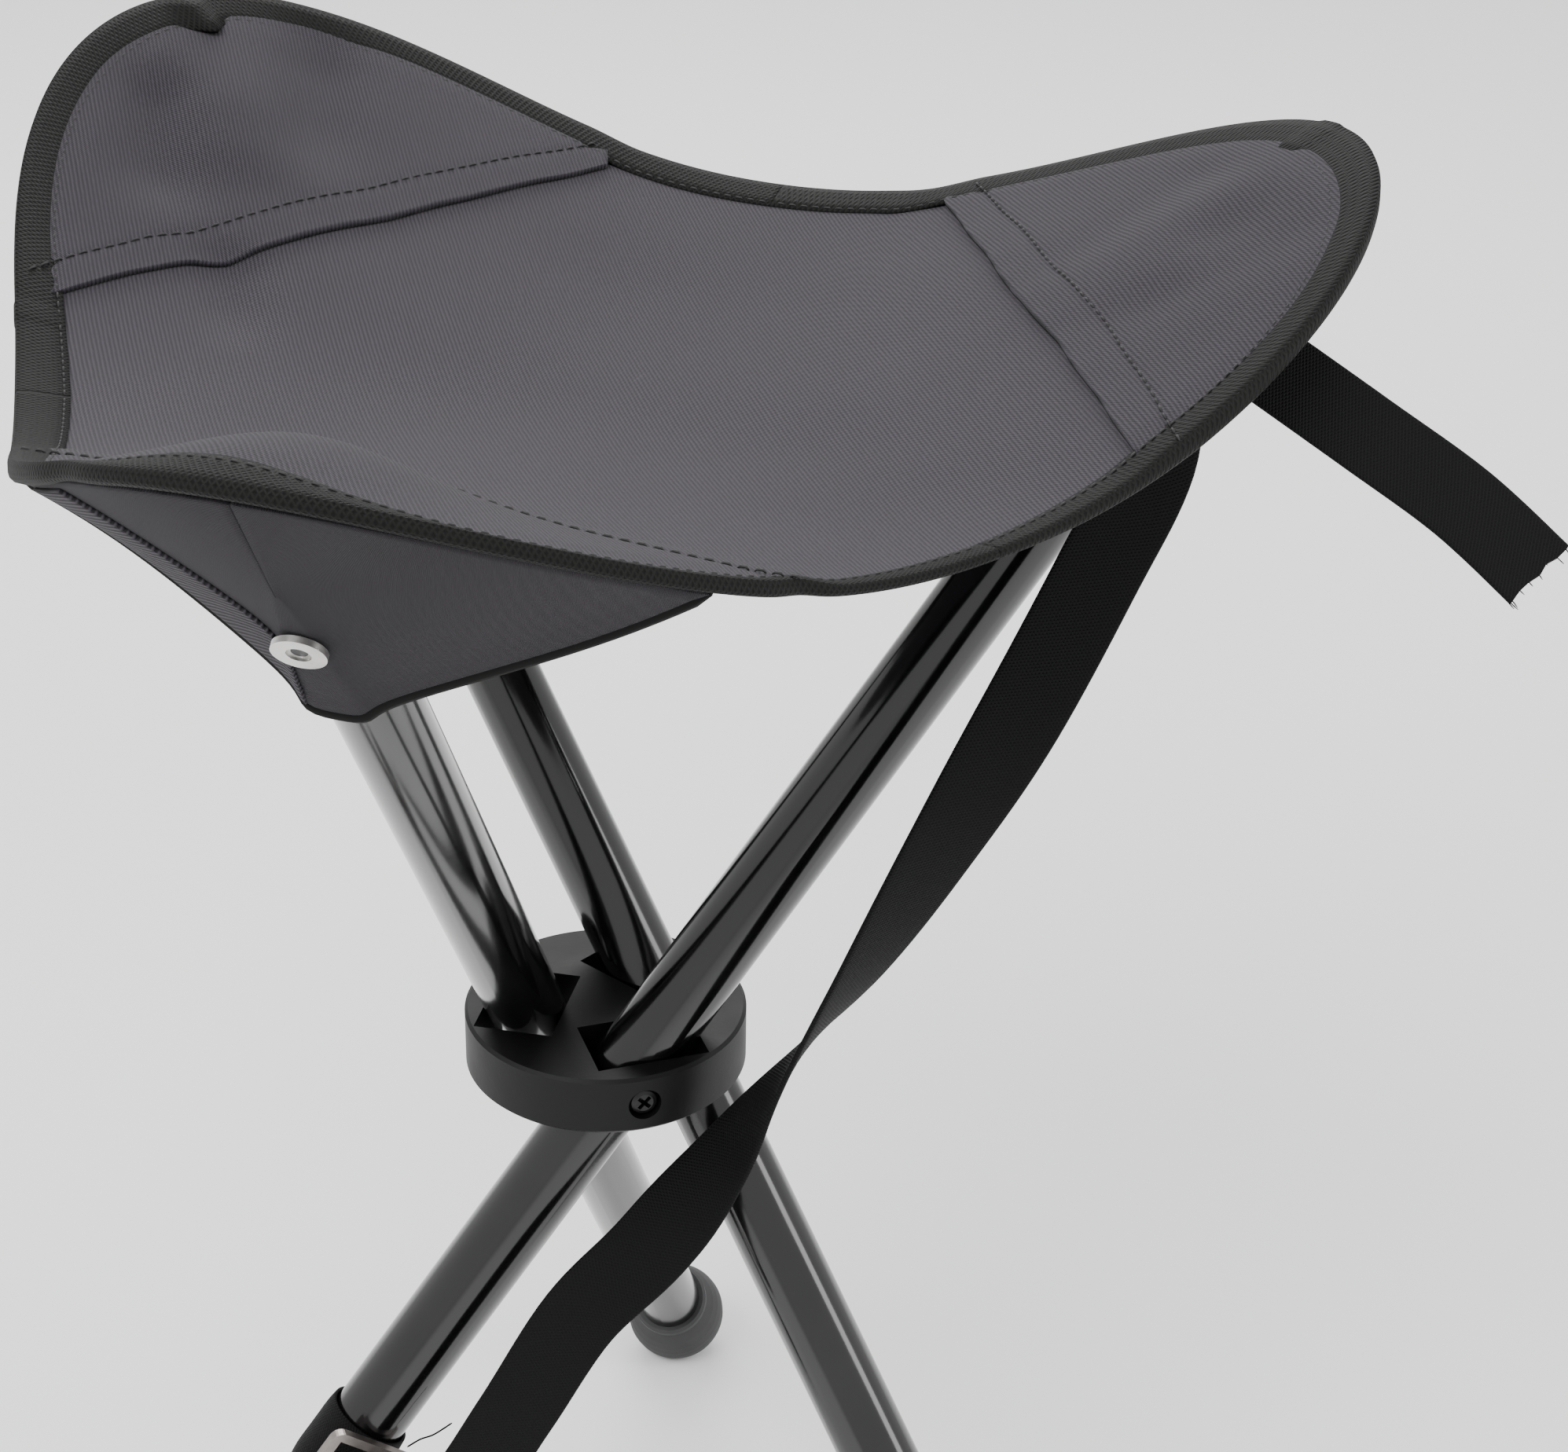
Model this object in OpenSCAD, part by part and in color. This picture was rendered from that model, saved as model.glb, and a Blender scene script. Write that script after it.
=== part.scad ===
// Folding three-leg stool. Three straight tubes cross in a round plastic hub,
// each turning on a screw that points at the hub's axis, and a three-cornered
// cloth seat holds their upper ends in sewn pockets.
// Origin: on the floor, on the hub's axis. +Z is up. Leg a leans towards +X
// above the hub, and legs b and c are the same leg turned by 120 and 240 degrees.

/* [Legs] */
// Outer diameter of a leg tube
tube_d = 19; // [18:0.25:19.25]
// Wall thickness of a leg tube
tube_wall = 1.2; // [0.8:0.1:2]
// Distance along a leg from its pivot to the end of its top cap
leg_top = 242; // [236:1:244]
// Lean of an open leg from the vertical, in degrees
open_angle = 36.5; // [35:0.25:36.5]

/* [Hub] */
// Outer diameter of the hub
hub_d = 70; // [69:0.5:74]
// Thickness of the hub
hub_h = 15.5; // [14.5:0.25:16]
// Distance from the hub's axis to the middle of each tube
tube_offset = 19; // [18.9:0.1:20]
// Height of the hub's middle above the floor
hub_height = 228; // [200:1:240]
// Clearance between a tube and its slot
slot_gap = 0.4; // [0.3:0.05:0.6]

/* [Pivot screws] */
// Shank diameter of a pivot screw
screw_d = 4; // [3:0.5:5]
// Radial clearance of a tube on its screw
pivot_gap = 0.05; // [0.02:0.01:0.1]
// Head diameter of a pivot screw
head_d = 7.3; // [6.5:0.1:8]
// Head height of a pivot screw
head_h = 2.6; // [2:0.1:3]

/* [Feet] */
// Largest diameter of a rubber foot
foot_d = 30.4; // [28:0.2:31]
// Height of a foot's centre above the floor
foot_lift = 13.5; // [13:0.1:14]
// Outer diameter of the lip that grips the tube
foot_lip_d = 23; // [22:0.2:25]

/* [Seat] */
// Mean distance from the hub's axis to the seat's edge
rim_mean = 149.6; // [145:0.5:152]
// How far the corners reach past the mean, and the sides fall short of it
rim_point = 23.8; // [20:0.5:26]
// Rounding of the corners
rim_round = 2.5; // [1:0.5:3]
// Mean height of the seat's edge above the hub
rim_height = 195.5; // [194:0.5:200]
// How far the corners rise above the mean
corner_rise = 20.7; // [18:0.5:22]
// Height of the seat's middle above the hub
seat_middle = 168; // [164:1:172]
// Thickness of the seat panel
panel_t = 1.6; // [1:0.1:2]
// Thickness of the corner patches and pockets
layer_t = 1; // [0.8:0.1:1.4]
// Distance from the axis to the seam of a corner patch
seam_reach = 100; // [95:1:105]
// Distance along a leg from its pivot to its pocket's hem
hem_reach = 203; // [200:1:206]
// Height of the edge binding
binding_h = 7.5; // [7:0.5:9]

/* [Straps] */
// Width of the webbing
strap_w = 20; // [18:1:25]
// Thickness of the webbing
strap_t = 1.4; // [1:0.1:1.6]
// Distance along leg a below its pivot to the buckle
buckle_drop = 124; // [115:1:130]

/* [Hidden] */

A = 0;
B = 120;
C = 240;

tube_r = tube_d / 2;
hub_r = hub_d / 2;
slot_in = tube_offset - tube_r - slot_gap;
slot_out = tube_offset + tube_r + slot_gap;
// Half widths of a tube where it crosses the hub's faces, open and closed
lean_shift = hub_h / 2 * tan(open_angle);
open_half = tube_r / cos(open_angle);
slot_wide = lean_shift + open_half + slot_gap;
slot_near = tube_r + slot_gap;

head_seat = hub_r - 3.4;
head_bore_d = head_d + 0.9;
screw_tip = 3.6;

foot_r = foot_d / 2;
foot_reach = (hub_height - foot_lift) / cos(open_angle);
foot_mouth = 15;
socket_floor = -4;
cap_h = 3;
cap_plug = 5;

// Direction of each seat corner from its leg's own plane
corner_turn = -7.4;
panel_edge = 2.4;
layer_edge = 3.2;
layer_gap = 0.9;
patch_spread = 39;
pocket_spread = 30;
spine_gap = 13;
spine_start = 251;
pocket_mouth = 0.04;
bulge_h = 4;
bulge_reach = 20;
rivet_reach = 231.6;
rivet_out = spine_gap + 1.4;
rivet_d = 4.6;
rivet_in = 3;
washer_d = 11;
SMOOTH = 96;

// ---- helpers ------------------------------------------------------------

function flat(rows) = [for (row = rows) each row];
function polar(r, angle, z) = [r * cos(angle), r * sin(angle), z];

// Two triangles for each cell of a grid with n rows of m points, numbered from
// first. Seen from the side where rows run up and columns run right.
function cells(n, m, first, wrap, turned) =
    flat([for (i = [0 : n - 2], j = [0 : m - (wrap ? 1 : 2)])
        let (a = first + i * m + j, b = first + i * m + (j + 1) % m,
             c = b + m, d = a + m)
        turned ? [[a, c, b], [a, d, c]] : [[a, b, c], [a, c, d]]]);

// A closed sheet between two grids of points, the top and the bottom
module sheet(top, bottom) {
    n = len(top);
    m = len(top[0]);
    half = n * m;
    edge = concat([for (j = [0 : m - 1]) j],
                  [for (i = [1 : n - 1]) i * m + m - 1],
                  [for (j = [m - 2 : -1 : 0]) (n - 1) * m + j],
                  [for (i = [n - 2 : -1 : 1]) i * m]);
    rim = flat([for (k = [0 : len(edge) - 1])
        let (a = edge[k], b = edge[(k + 1) % len(edge)])
        [[a, b + half, b], [a, a + half, b + half]]]);
    polyhedron(points = concat(flat(top), flat(bottom)),
               faces = concat(cells(n, m, 0, false, false),
                              cells(n, m, half, false, true), rim));
}

module turned(angle) rotate([0, 0, angle]) children();

// Puts a shape drawn along +Z on a leg: z is the distance above the pivot
module on_leg(angle)
    turned(angle)
        translate([0, -tube_offset, hub_height])
            rotate([0, open_angle, 0]) children();

// Puts a shape drawn along +Z on a leg's pivot: z is the distance from the axis
module on_pivot(angle)
    turned(angle)
        translate([0, 0, hub_height])
            rotate([90, 0, 0]) children();

// ---- hub and pivots -----------------------------------------------------

module slot_shape()
    polygon([[-slot_near - 1, hub_h / 2 + 1], [slot_wide + 1, hub_h / 2 + 1],
             [slot_wide, hub_h / 2], [slot_near, -hub_h / 2],
             [slot_near + 1, -hub_h / 2 - 1], [-slot_wide - 1, -hub_h / 2 - 1],
             [-slot_wide, -hub_h / 2], [-slot_near, hub_h / 2]]);

module hub()
    color([0.05, 0.05, 0.055])
        difference() {
            translate([0, 0, hub_height])
                rotate_extrude($fn = SMOOTH)
                    polygon([[0, -hub_h / 2], [hub_r - 1, -hub_h / 2],
                             [hub_r, -hub_h / 2 + 1], [hub_r, hub_h / 2 - 0.8],
                             [hub_r - 0.8, hub_h / 2], [0, hub_h / 2]]);
            for (angle = [A, B, C]) {
                on_pivot(angle)
                    translate([0, 0, slot_in])
                        linear_extrude(slot_out - slot_in) slot_shape();
                on_pivot(angle)
                    translate([0, 0, screw_tip - 1])
                        cylinder(d = screw_d, h = hub_r, $fn = 48);
                on_pivot(angle)
                    translate([0, 0, head_seat])
                        cylinder(d = head_bore_d, h = 10, $fn = 48);
            }
        }

module pivot_screw(angle)
    color([0.1, 0.1, 0.1])
        on_pivot(angle)
            difference() {
                union() {
                    translate([0, 0, screw_tip])
                        cylinder(d = screw_d, h = head_seat - screw_tip + 0.2, $fn = 48);
                    translate([0, 0, head_seat])
                        rotate_extrude($fn = 48)
                            polygon([[0, 0], [head_d / 2, 0], [head_d / 2, head_h * 0.55],
                                     [head_d / 2 - 0.5, head_h * 0.85],
                                     [head_d / 2 - 1.4, head_h], [0, head_h]]);
                }
                for (turn = [45, 135])
                    translate([0, 0, head_seat + head_h - 0.7])
                        rotate([0, 0, turn]) cube([4, 1, 3], center = true);
            }

// ---- legs ---------------------------------------------------------------

module leg_tube(angle)
    color([0.03, 0.03, 0.03])
        difference() {
            on_leg(angle)
                translate([0, 0, socket_floor - foot_reach])
                    cylinder(r = tube_r, h = leg_top - cap_h + foot_reach - socket_floor,
                             $fn = SMOOTH);
            on_leg(angle)
                translate([0, 0, socket_floor - foot_reach - 1])
                    cylinder(r = tube_r - tube_wall, h = leg_top + foot_reach + 10,
                             $fn = SMOOTH);
            on_pivot(angle)
                translate([0, 0, slot_in - 2])
                    cylinder(r = screw_d / 2 + pivot_gap, h = slot_out, $fn = 48);
            on_rivet(angle) cylinder(d = rivet_d + 0.1, h = tube_d, $fn = 32);
        }

module top_cap(angle)
    color([0.12, 0.12, 0.12])
        on_leg(angle)
            translate([0, 0, leg_top - cap_h])
                rotate_extrude($fn = SMOOTH)
                    polygon([[0, -cap_plug], [tube_r - tube_wall - 0.1, -cap_plug],
                             [tube_r - tube_wall - 0.1, 0], [tube_r, 0],
                             [tube_r, cap_h / 3], [tube_r - 1, cap_h * 0.8],
                             [tube_r - 3, cap_h], [0, cap_h]]);

// The foot's outline: the ball, then a groove, then the lip round the tube
function foot_outline() =
    concat([for (t = [-90 : 10 : 46]) [foot_r * cos(t), foot_r * sin(t)]],
           [[foot_lip_d / 2 - 0.9, 11.4], [foot_lip_d / 2, 12],
            [foot_lip_d / 2, foot_mouth - 0.8], [foot_lip_d / 2 - 0.8, foot_mouth],
            [tube_r, foot_mouth], [tube_r, socket_floor], [0, socket_floor]]);

module foot(angle)
    color([0.09, 0.09, 0.09])
        difference() {
            on_leg(angle)
                translate([0, 0, -foot_reach])
                    rotate_extrude($fn = SMOOTH) polygon(foot_outline());
            turned(angle)
                translate([-foot_reach * sin(open_angle), -tube_offset, -20])
                    cube([60, 60, 40], center = true);
        }

// ---- seat ---------------------------------------------------------------

// Angles are measured from a corner
function rim_r(f) = rim_mean + rim_point * cos(3 * f) + rim_round * cos(6 * f);
function rim_z(f) = rim_height + corner_rise * cos(3 * f) + 2.9 * cos(6 * f);

// The cloth rises a little where a tube's end presses up under it
function bulge(x, y) =
    let (reach = (leg_top - 8) * sin(open_angle))
    bulge_h * max([for (angle = [A, B, C])
        let (dx = x - reach * cos(angle) - tube_offset * sin(angle),
             dy = y - reach * sin(angle) + tube_offset * cos(angle))
        exp(-(dx * dx + dy * dy) / (2 * bulge_reach * bulge_reach))]);

// A point on the middle of the cloth: share of the way to the rim, then angle
function cloth(share, f, r, up) =
    let (x = r * cos(corner_turn + f), y = r * sin(corner_turn + f))
    [x, y, hub_height + seat_middle + (rim_z(f) - seat_middle) * share * share
           + bulge(x, y) + up];

function panel_rows(up) =
    [for (i = [1 : 10]) [for (j = [0 : 59])
        let (f = 6 * j, r = (rim_r(f) - panel_edge) * i / 10)
        cloth(r / rim_r(f), f, r, up)]];

module seat_panel() {
    top = panel_rows(panel_t / 2);
    bottom = panel_rows(-panel_t / 2);
    n = len(top);
    m = len(top[0]);
    half = n * m;
    last = half - m;
    middle = 2 * half;
    color([0.33, 0.31, 0.34])
        polyhedron(
            points = concat(flat(top), flat(bottom),
                            [cloth(0, 0, 0, panel_t / 2), cloth(0, 0, 0, -panel_t / 2)]),
            faces = concat(cells(n, m, 0, true, false),
                           cells(n, m, half, true, true),
                           [for (j = [0 : m - 1]) [middle, (j + 1) % m, j]],
                           [for (j = [0 : m - 1])
                               [middle + 1, half + j, half + (j + 1) % m]],
                           flat([for (j = [0 : m - 1])
                               let (a = last + (j + 1) % m, b = last + j)
                               [[a, b + half, b], [a, a + half, b + half]]])));
}

module edge_binding() {
    corners = [for (j = [0 : 95])
        let (f = 3.75 * j, r = rim_r(f), z = hub_height + rim_z(f) - 1,
             angle = corner_turn + f)
        [polar(r - panel_edge + 0.3, angle, z + binding_h / 2),
         polar(r, angle, z + binding_h / 2 - 1),
         polar(r, angle, z - binding_h / 2 + 1),
         polar(r - panel_edge + 0.3, angle, z - binding_h / 2)]];
    n = len(corners);
    color([0.13, 0.13, 0.13])
        polyhedron(
            points = flat(corners),
            faces = flat([for (j = [0 : n - 1], k = [0 : 3])
                let (a = 4 * j + k, b = 4 * j + (k + 1) % 4,
                     c = 4 * ((j + 1) % n) + (k + 1) % 4, d = 4 * ((j + 1) % n) + k)
                [[a, c, b], [a, d, c]]]));
}

function patch_rows(up) =
    [for (i = [0 : 8]) [for (j = [-12 : 12])
        let (f = patch_spread * j / 12, outer = rim_r(f) - layer_edge,
             inner = seam_reach / cos(f), r = inner + (outer - inner) * i / 8)
        cloth(r / rim_r(f), f, r, up)]];

module corner_patch(angle) {
    lift = panel_t / 2 + layer_gap;
    color([0.35, 0.33, 0.36])
        turned(angle) sheet(patch_rows(lift + layer_t), patch_rows(lift));
}

// The pocket is a sling from the rim down round the leg: straight lines from
// the rim to a spine that follows the leg's underside
function spine(v, up) =
    let (s = hem_reach + (spine_start - hem_reach) * (1 - abs(v)),
         x = s * sin(open_angle) + spine_gap * cos(open_angle),
         z = s * cos(open_angle) - spine_gap * sin(open_angle))
    [x, -tube_offset, hub_height + z + up];
function pocket_rim(v, up) =
    let (f = pocket_spread * v, p = polar(rim_r(f) - layer_edge, corner_turn + f, 0))
    [p[0], p[1], hub_height + rim_z(f) - 2.8 + up];
// One rib runs from one side of the rim down to the spine and up the other side
function pocket_rib(v, up) =
    [for (j = [-6 : 6])
        let (w = 1 - abs(j) / 6, rim = pocket_rim(sign(j) * v, up), low = spine(v, up))
        rim + (low - rim) * w - [0, 0, 8 * v * w * (1 - w)]];
function pocket_rows(up) =
    [for (i = [0 : 8]) pocket_rib(pocket_mouth + (1 - pocket_mouth) * i / 8, up)];

module corner_pocket(angle)
    color([0.27, 0.25, 0.28])
        difference() {
            turned(angle) sheet(pocket_rows(-layer_t), pocket_rows(0));
            on_rivet(angle) cylinder(d = rivet_d + 0.4, h = 40, $fn = 32);
        }

// Puts a shape drawn along +Z on a rivet's axis, which crosses its tube
module on_rivet(angle)
    on_leg(angle)
        translate([0, 0, rivet_reach])
            rotate([0, 90, 0]) children();

module rivet(angle)
    color([0.75, 0.75, 0.74])
        on_rivet(angle)
            difference() {
                union() {
                    translate([0, 0, rivet_out])
                        cylinder(d = washer_d, h = 1.4, $fn = 48);
                    translate([0, 0, tube_r - rivet_in])
                        cylinder(d = rivet_d, h = rivet_out - tube_r + rivet_in + 0.4, $fn = 32);
                }
                translate([0, 0, rivet_out + 0.6])
                    cylinder(d = 5, h = 2, $fn = 32);
            }

// ---- straps -------------------------------------------------------------

// A smooth run through hand-placed stations, each a point and the way the
// webbing's width lies there
function blend4(a, b, c, d, t) =
    0.5 * (2 * b + (c - a) * t + (2 * a - 5 * b + 4 * c - d) * t * t
           + (3 * b - a - 3 * c + d) * t * t * t);
function station(list, k, part) =
    list[max(0, min(len(list) - 1, k))][part];
function smooth_run(list, part, steps) =
    [for (k = [0 : len(list) - 2], i = [0 : steps - 1])
        blend4(station(list, k - 1, part), station(list, k, part),
               station(list, k + 1, part), station(list, k + 2, part), i / steps),
     station(list, len(list) - 1, part)];
function unit(v) = v / norm(v);

module webbing(list, steps) {
    mid = smooth_run(list, 0, steps);
    side = smooth_run(list, 1, steps);
    n = len(mid);
    rings = [for (i = [0 : n - 1])
        let (ahead = mid[min(n - 1, i + 1)] - mid[max(0, i - 1)],
             face = unit(cross(ahead, side[i])),
             wide = unit(cross(face, ahead)) * strap_w / 2,
             thick = face * strap_t / 2)
        [mid[i] - wide - thick, mid[i] + wide - thick,
         mid[i] + wide + thick, mid[i] - wide + thick]];
    polyhedron(
        points = flat(rings),
        faces = concat([[0, 1, 2, 3]],
            flat([for (i = [0 : n - 2], k = [0 : 3])
                let (a = 4 * i + k, b = 4 * i + (k + 1) % 4)
                [[a, b + 4, b], [a, a + 4, b + 4]]]),
            [[4 * n - 1, 4 * n - 2, 4 * n - 3, 4 * n - 4]]));
}

// From the underside of the seat at corner a, past the hub with a half turn, to
// the buckle
CARRY = [[[111, -56, 414], [8, -5, -2]], [[110, -58, 392], [8, -3, -5]],
         [[98, -60, 368], [8, -3, -4]],
         [[80, -63, 336], [8, -3, -4]], [[62, -62, 303], [8, 1, -5]],
         [[45, -58, 270], [6, 5, -5]], [[31, -51, 243], [3, 9, -4]],
         [[17, -46, 217], [-3, 9, -1]], [[-2, -47, 195], [-7, 5, 4]],
         [[-21, -49, 179], [-8, 3, 5]], [[-38, -52, 156], [-9, 2, 4]],
         [[-53, -52, 134], [-9, 2, 3]], [[-68, -47, 120], [-9, 1, -3]],
         [[-81, -39, 118], [-6, 0, -8]]];
// Out from under corner a to a free end
TIE = [[[135, -61, 414.5], [8, 4, 5]], [[152, -76.5, 402.5], [8, 4, 5]],
       [[168, -93.5, 391], [8, 4, 5]], [[180, -109, 379], [8, 4, 5]]];

module carry_strap() color([0.04, 0.04, 0.04]) webbing(CARRY, 3);
module tie_strap() color([0.04, 0.04, 0.04]) webbing(TIE, 4);

module strap_loop()
    color([0.05, 0.05, 0.05])
        on_leg(A)
            translate([0, 0, -buckle_drop - strap_w / 2])
                difference() {
                    cylinder(r = tube_r + 0.1 + strap_t, h = strap_w, $fn = SMOOTH);
                    translate([0, 0, -1])
                        cylinder(r = tube_r + 0.1, h = strap_w + 2, $fn = SMOOTH);
                }

// A flat frame with a middle bar, its plane against the outside of the tube
module buckle() {
    frame_w = 27;
    frame_l = 21;
    bar = 2.4;
    color([0.2, 0.19, 0.18])
        on_leg(A)
            translate([0, -tube_r - strap_t - 1.6, -buckle_drop])
                rotate([90, 0, 0])
                    difference() {
                        hull()
                            for (x = [-1, 1], y = [-1, 1])
                                translate([x * (frame_w / 2 - 3), y * (frame_l / 2 - 3), -1.2])
                                    cylinder(r = 3, h = 2.4, $fn = 32);
                        for (side = [-1, 1])
                            translate([0, side * (frame_l / 4 - bar / 4), 0])
                                cube([frame_w - 2 * bar, frame_l / 2 - 1.5 * bar, 6],
                                     center = true);
                    }
}

// ---- nodes --------------------------------------------------------------

hub();
pivot_screw(A);  // pivot_screw_a
pivot_screw(B);  // pivot_screw_b
pivot_screw(C);  // pivot_screw_c
leg_tube(A);  // leg_tube_a
leg_tube(B);  // leg_tube_b
leg_tube(C);  // leg_tube_c
top_cap(A);  // top_cap_a
top_cap(B);  // top_cap_b
top_cap(C);  // top_cap_c
foot(A);  // foot_a
foot(B);  // foot_b
foot(C);  // foot_c
seat_panel();
edge_binding();
corner_patch(A);  // corner_patch_a
corner_patch(B);  // corner_patch_b
corner_patch(C);  // corner_patch_c
corner_pocket(A);  // corner_pocket_a
corner_pocket(B);  // corner_pocket_b
corner_pocket(C);  // corner_pocket_c
rivet(A);  // rivet_a
rivet(B);  // rivet_b
rivet(C);  // rivet_c
carry_strap();
strap_loop();
buckle();
tie_strap();
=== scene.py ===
# Folding three-leg stool: the looks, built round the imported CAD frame.
import math

import bmesh
import bpy
import numpy as np
from mathutils import Matrix, Vector


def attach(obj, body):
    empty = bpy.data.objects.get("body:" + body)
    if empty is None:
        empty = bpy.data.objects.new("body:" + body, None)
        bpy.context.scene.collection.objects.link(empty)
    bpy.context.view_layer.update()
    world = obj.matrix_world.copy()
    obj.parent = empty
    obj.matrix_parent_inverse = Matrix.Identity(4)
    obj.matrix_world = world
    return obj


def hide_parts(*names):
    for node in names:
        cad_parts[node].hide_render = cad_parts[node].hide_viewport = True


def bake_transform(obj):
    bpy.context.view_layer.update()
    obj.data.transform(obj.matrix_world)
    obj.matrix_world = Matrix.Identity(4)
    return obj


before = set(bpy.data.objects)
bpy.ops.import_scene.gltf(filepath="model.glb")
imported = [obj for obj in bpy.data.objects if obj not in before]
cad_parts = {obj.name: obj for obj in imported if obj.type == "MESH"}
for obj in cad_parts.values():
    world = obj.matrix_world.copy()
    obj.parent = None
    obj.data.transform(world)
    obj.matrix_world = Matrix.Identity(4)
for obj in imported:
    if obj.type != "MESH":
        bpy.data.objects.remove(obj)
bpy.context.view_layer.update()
MM = 0.001
rng = np.random.default_rng(7)

# ---- camera ---------------------------------------------------------------

PITCH, YAW, ROLL = math.radians(28.24), math.radians(18.97), math.radians(1.13)
EYE = (-0.1827, -0.6636, 0.6835)
LENS, SENSOR = 75.46, 36
forward = Vector((math.sin(YAW) * math.cos(PITCH), math.cos(YAW) * math.cos(PITCH),
                  -math.sin(PITCH)))
level = forward.cross(Vector((0, 0, 1))).normalized()
upright = level.cross(forward)
right = level * math.cos(ROLL) + upright * math.sin(ROLL)
up = right.cross(forward)
camera_data = bpy.data.cameras.new("view")
camera_data.sensor_fit = "HORIZONTAL"
camera_data.sensor_width = SENSOR
camera_data.lens = LENS
camera_data.clip_start, camera_data.clip_end = 0.01, 50
camera = bpy.data.objects.new("view", camera_data)
bpy.context.scene.collection.objects.link(camera)
turn = Matrix((right, up, -forward)).transposed()
camera.matrix_world = Matrix.Translation(EYE) @ turn.to_4x4()
bpy.context.scene.camera = camera

# ---- the seat's form, as in the CAD (millimetres and degrees) --------------

# Corner a's middle lies this far round from +X
CORNER_TURN = -7.4
LEGS = {"a": 0.0, "b": 120.0, "c": 240.0}
# Half the angle of one leg's third of the seat, and the rim's rough radius
SECTOR, RIM_R = 60.0, 150.0
# A tube passes the hub's axis at this offset, and leans out by OPEN
TUBE_OFFSET, TUBE_R, OPEN = 19.0, 9.5, math.radians(36.5)
# The hub's height, the seat's middle above it, and a tube's upper end along it
HUB_Z, SEAT_MIDDLE, LEG_TOP = 228.0, 168.0, 242.0
PANEL_T, LAYER_T, LAYER_GAP, TAPE_T = 1.6, 1.0, 0.9, 0.9
# The patches and pockets stop this far inside the rim, under the tape
RIM_INSET = 3.2
# A seam's rough distance from the middle, and how far patches and pockets spread
# each way from their corner, in degrees
SEAM_REACH, PATCH_SPREAD, POCKET_SPREAD = 100.0, 39.0, 30.0
# A patch's stitches run this far outside its seam
SEAM_STITCH = 11.0
# Along the tube from the hub: a pocket's mouth and the start of its spine, which
# runs this far outside the tube's axis
HEM, SPINE_START, SPINE_GAP = 203.0, 251.0, 13.0


def rim_r(bearing):
    """The rim's distance from the axis, bearing degrees from a corner's middle."""
    bearing = np.radians(bearing)
    return 149.6 + 23.8 * np.cos(3 * bearing) + 2.5 * np.cos(6 * bearing)


def rim_z(bearing):
    """The rim's height over the hub."""
    bearing = np.radians(bearing)
    return 195.5 + 20.7 * np.cos(3 * bearing) + 2.9 * np.cos(6 * bearing)


def tube_end(x, y, reach, width):
    """How near (x, y) is to a tube's end in plan, from 0 to 1, over all legs."""
    near = np.zeros_like(x)
    for angle in LEGS.values():
        a = math.radians(angle)
        dx = x - reach * math.cos(a) - TUBE_OFFSET * math.sin(a)
        dy = y - reach * math.sin(a) + TUBE_OFFSET * math.cos(a)
        near = np.maximum(near, np.exp(-(dx * dx + dy * dy) / (2 * width * width)))
    return near


# Folds on the cloth, in plan: the points each follows, its height and its width.
# The last three make the cloth sink near tube a's end and stand over tube c's.
FOLDS = [([(-77, 128), (-81, 105), (-83, 85)], -4.2, 7),
         ([(-32, 155), (-39, 123), (-47, 96)], -4.6, 8),
         ([(-71, 72), (-73, 55), (-75, 34)], -2.2, 6),
         ([(-60, 122), (-62, 96)], 1.6, 9),
         ([(150, -44), (118, -40), (92, -34)], -1.4, 7),
         ([(148, 4), (116, 0), (90, 2)], -1.3, 8),
         ([(-112, -62), (-86, -60), (-64, -48)], -1.2, 8),
         ([(20, 60), (-10, 20), (-20, -40)], -0.8, 16),
         ([(60, -70), (20, -60), (-20, -74)], 0.7, 14),
         ([(141, -26), (141, -25.9)], -3.4, 9),
         ([(-84, -103), (-84, -102.9)], 9.0, 21),
         ([(-104, -78), (-96, -66)], 2.2, 14)]
# How far the cloth stands over a tube's end, and over what width
END_RISE, END_WIDTH = 4, 20
# A fold longer than this dies away over this share of its length
LONG_FOLD, FOLD_FADE = 5.0, 0.6
# Where two ends of the tape overlap: leg, and the angle from its corner
JOINTS = {"a": 4.9, "b": 43.0}
# Where the rim is nipped inwards: leg, angle from its corner, depth, half width
NIPS = [("b", -1.1, 6.0, 1.3), ("c", -14, 1.2, 2.5), ("a", 44, 1.0, 2.5), ("c", 38, 1.3, 2.0)]
# The width of the binding's upper side, by the angle all round the seat
FLAPS = ([-60, -40, -20, 0, 5, 12, 40, 110, 130, 150, 180, 205, 225, 250, 300],
         [6.5, 9, 11, 13, 13.5, 12.5, 12, 12, 11.5, 11.5, 12, 11.5, 8, 6.5, 6.5])
# How much of its full height the tape keeps, by the same angle: it is thin in front
SLIMS = ([-60, -35, 200, 215, 232, 300], [0.5, 1, 1, 0.8, 0.5, 0.5])
# Over tube c's end the upper side turns up and shows more of itself: angle, half width
UPTURN = (-1.0, 9.0)
# The tape's section: how far in from the rim, how far up, its share of the rise over
# a patch, and its share of the upper side's width
TAPE_SECTION = [(0, 1.2, 1, 1), (0, 1.5, 1, 0.66), (0, 1.8, 1, 0.3), (0.7, 1.5, 1, 0),
                (0.1, 0.5, 0.6, 0), (0, -1.0, 0, 0), (0.2, -2.0, 0, 0), (1, -2.9, 0, 0),
                (3, -3.3, 0, 0), (6, -3.4, 0, 0)]
# How far each patch's seam is from the middle, by the distance along the seam
SEAMS = {"a": ([-90, -20, 10, 90], [101, 100, 98, 99]),
         "b": ([-80, -9, 12, 30, 38, 46, 60], [95.4, 93.4, 94.6, 95.2, 95.6, 98.4, 99.7]),
         "c": ([-90, -30, 20, 90], [100, 98, 101, 100])}


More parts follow.
